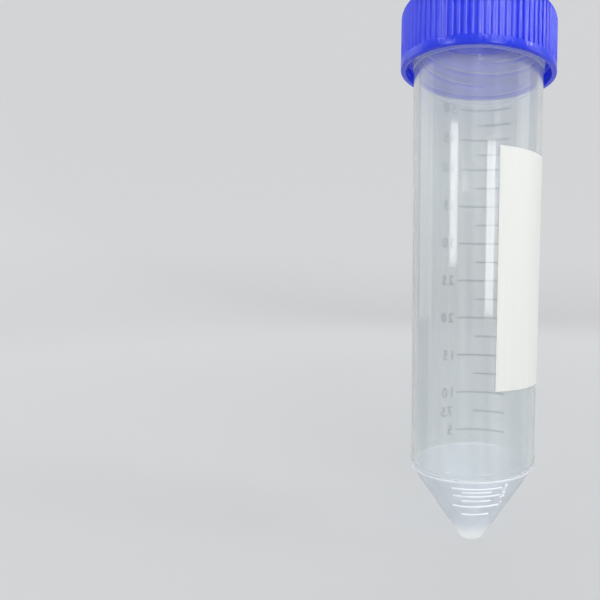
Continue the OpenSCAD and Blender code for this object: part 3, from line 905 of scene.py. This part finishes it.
# %% White ink
white_ink, tree = new_material("white_screen_ink")
place = add_node(tree, "ShaderNodeTexCoord", {})
stretched = add_node(tree, "ShaderNodeMapping", {
    "Vector": place.outputs["Object"], "Scale": (1 / (0.8 * MM), 1 / (0.8 * MM), 1 / (60 * MM))})
pull = add_node(tree, "ShaderNodeTexNoise", {
    "Vector": stretched.outputs["Vector"], "Scale": 1, "Detail": 3, "Roughness": 0.6})
colour = add_node(tree, "ShaderNodeMix", {
    "Factor": pull.outputs["Fac"], "A": tint("#E9EAE4"), "B": tint("#F3F4EF")}, data_type="RGBA")
weave = add_node(tree, "ShaderNodeTexNoise", {
    "Vector": place.outputs["Object"], "Scale": 1 / (0.25 * MM), "Detail": 2})
matt = add_node(tree, "ShaderNodeMapRange", {
    "Value": weave.outputs["Fac"], "From Min": 0.3, "From Max": 0.7, "To Min": 0.5, "To Max": 0.65})
relief = add_node(tree, "ShaderNodeBump", {
    "Height": weave.outputs["Fac"], "Strength": 0.3, "Distance": 0.01 * MM})
chalk = add_node(tree, "ShaderNodeBsdfPrincipled", {
    "Base Color": colour.outputs["Result"], "Roughness": matt.outputs["Result"],
    "Normal": relief.outputs["Normal"], "IOR": 1.5})
add_node(tree, "ShaderNodeOutputMaterial", {"Surface": chalk.outputs["BSDF"]})
print(white_ink.name, len(tree.nodes), "nodes")

# %% The writing patch
# Space between wall and ink, which keeps them two solids, and the ink's thickness
INK_GAP = 0.02
INK_THICK = 0.08
PATCH_LOW_Z = 35.0
PATCH_HIGH_Z = 84.6
PATCH_START = -71.5
PATCH_W = 25
PATCH_SPAN = math.degrees(PATCH_W / barrel_r((PATCH_LOW_Z + PATCH_HIGH_Z) / 2))


def thicken_ink(piece):
    """Gives a printed sheet the thickness of its ink, outwards from the wall"""
    bpy.ops.object.mode_set(mode="OBJECT")
    layer = piece.modifiers.new("layer", "SOLIDIFY")
    layer.thickness = INK_THICK * MM
    layer.offset = 1
    bpy.ops.object.modifier_apply(modifier=layer.name)


def face_out(piece):
    """Turns a printed sheet away from the axis, if its broadest face looks inwards"""
    broadest = max(bmesh.from_edit_mesh(piece.data).faces, key=lambda face: face.calc_area())
    if broadest.normal.dot(broadest.calc_center_median() * Vector((1, 1, 0))) < 0:
        bpy.ops.mesh.select_all(action="SELECT")
        bpy.ops.mesh.flip_normals()


def upright(z_low, z_high, degrees):
    """Ends of an upright line just off the barrel, at an angle from +X"""
    turn = math.radians(degrees)
    return [((barrel_r(z) + INK_GAP) * math.cos(turn), (barrel_r(z) + INK_GAP) * math.sin(turn), z)
            for z in (z_low, z_high)]


patch = draw("writing_patch_ink", upright(PATCH_LOW_Z, PATCH_HIGH_Z, PATCH_START))
bpy.ops.mesh.select_all(action="SELECT")
spin_selected(72, PATCH_SPAN)
face_out(patch)
thicken_ink(patch)
coat([patch], white_ink)
shade(patch, 40)
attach(patch, "tube")
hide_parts("writing_patch")
print(patch.name, len(patch.data.polygons), "faces")

# %% [markdown]
# ## The printed scale
# The scale is on the other side of the barrel, so from the front it is read mirrored through two walls. A
# line for every 2.5 millilitres runs round the back from a common end, and the lines for whole fives are
# longer. Each line is a short upright edge spun through its length. A fine line takes less ink than a
# figure, so its grey is a little paler.

# %% Grey inks
def grey_ink(name, full, thin):
    """Grey screen ink between two shades: where it lies in full, and where the film is thin"""
    material, tree = new_material(name)
    place = add_node(tree, "ShaderNodeTexCoord", {})
    cover = add_node(tree, "ShaderNodeTexNoise", {
        "Vector": place.outputs["Object"], "Scale": 1 / (0.35 * MM), "Detail": 3})
    colour = add_node(tree, "ShaderNodeMix", {
        "Factor": cover.outputs["Fac"], "A": tint(full), "B": tint(thin)}, data_type="RGBA")
    matt = add_node(tree, "ShaderNodeMapRange", {
        "Value": cover.outputs["Fac"], "From Min": 0.3, "From Max": 0.7, "To Min": 0.4, "To Max": 0.6})
    film = add_node(tree, "ShaderNodeBsdfPrincipled", {
        "Base Color": colour.outputs["Result"], "Roughness": matt.outputs["Result"], "IOR": 1.5})
    add_node(tree, "ShaderNodeOutputMaterial", {"Surface": film.outputs["BSDF"]})
    return material


line_ink = grey_ink("grey_screen_ink", "#757D86", "#9097A0")
figure_ink = grey_ink("dark_grey_screen_ink", "#565E67", "#767E87")
print("inks:", line_ink.name, figure_ink.name)

# %% The scale lines
SCALE_LOW_Z = 20.3
SCALE_HIGH_Z = 100.05
# The lines' common end in degrees from +X, and the spans of long and short lines
SCALE_START = 54.5
SCALE_LONG = 54
SCALE_SHORT = 35.5
LINE_W = 0.35
# Spacing above forty millilitres, as a share of the spacing below
CLOSER = 0.81
FIVES = [5 * n for n in range(1, 11)]
BETWEEN = [7.5 + 5 * n for n in range(9)]


def scale_steps(volume):
    """Steps of five millilitres over the lowest line. Above forty the lines are closer together."""
    return min(volume, 40) / 5 - 1 + CLOSER * max(volume - 40, 0) / 5


def scale_z(volume):
    """Height of a scale line"""
    return SCALE_LOW_Z + (SCALE_HIGH_Z - SCALE_LOW_Z) * scale_steps(volume) / scale_steps(50)


def scale_line(volume, span):
    """One printed line"""
    z = scale_z(volume)
    piece = draw("scale_line", upright(z - LINE_W / 2, z + LINE_W / 2, SCALE_START))
    bpy.ops.mesh.select_all(action="SELECT")
    spin_selected(40, span)
    face_out(piece)
    thicken_ink(piece)
    return piece


lines = [scale_line(v, SCALE_LONG) for v in FIVES] + [scale_line(v, SCALE_SHORT) for v in BETWEEN]
scale = join_pieces(lines, "scale_lines_ink")
coat([scale], line_ink)
shade(scale, 40)
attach(scale, "tube")
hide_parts("scale_lines")
print(scale.name, len(lines), "lines,", len(scale.data.polygons), "faces")

# %% [markdown]
# ## The printed figures
# Plain figures stand beside the long lines. Each number is a text object made a mesh and held just outside
# the wall. A Shrinkwrap modifier lays it on the barrel, and the ink gets its thickness as before.

# %% The printed figures
FIGURE_H = 2.3
FIGURE_GAP = 1.2
FIGURE_START = SCALE_START + SCALE_LONG
# Distance from the wall at which a number is held before it is laid on
HELD_OFF = 0.3
# Letter spacing of whole numbers, and of the one with a point
WIDE = 1.3
CLOSE = 0.9


def printed_number(volume):
    """A number beside its line, laid on the barrel"""
    z = scale_z(volume)
    piece = figure("number", f"{volume:g}", FIGURE_H, spacing=WIDE if volume % 1 == 0 else CLOSE)
    half = piece.dimensions.x / 2 / MM
    turn = math.radians(FIGURE_START) + (FIGURE_GAP + half) / barrel_r(z)
    off = barrel_r(z) + HELD_OFF
    piece.location = Vector((off * math.cos(turn), off * math.sin(turn), z)) * MM
    piece.rotation_euler = (math.pi / 2, 0, turn + math.pi / 2)
    bpy.ops.object.transform_apply(location=True, rotation=True, scale=True)
    wrap = piece.modifiers.new("wrap", "SHRINKWRAP")
    wrap.target = tube
    wrap.wrap_mode = "ABOVE_SURFACE"
    wrap.offset = INK_GAP * MM
    bpy.ops.object.modifier_apply(modifier=wrap.name)
    bpy.ops.object.mode_set(mode="EDIT")
    face_out(piece)
    thicken_ink(piece)
    return piece


numbers = [printed_number(volume) for volume in FIVES + BETWEEN[:1]]
numerals = join_pieces(numbers, "scale_numerals_ink")
coat([numerals], figure_ink)
shade(numerals, 40)
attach(numerals, "tube")
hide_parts("scale_numerals")
print(numerals.name, len(numbers), "numbers,", len(numerals.data.polygons), "faces")
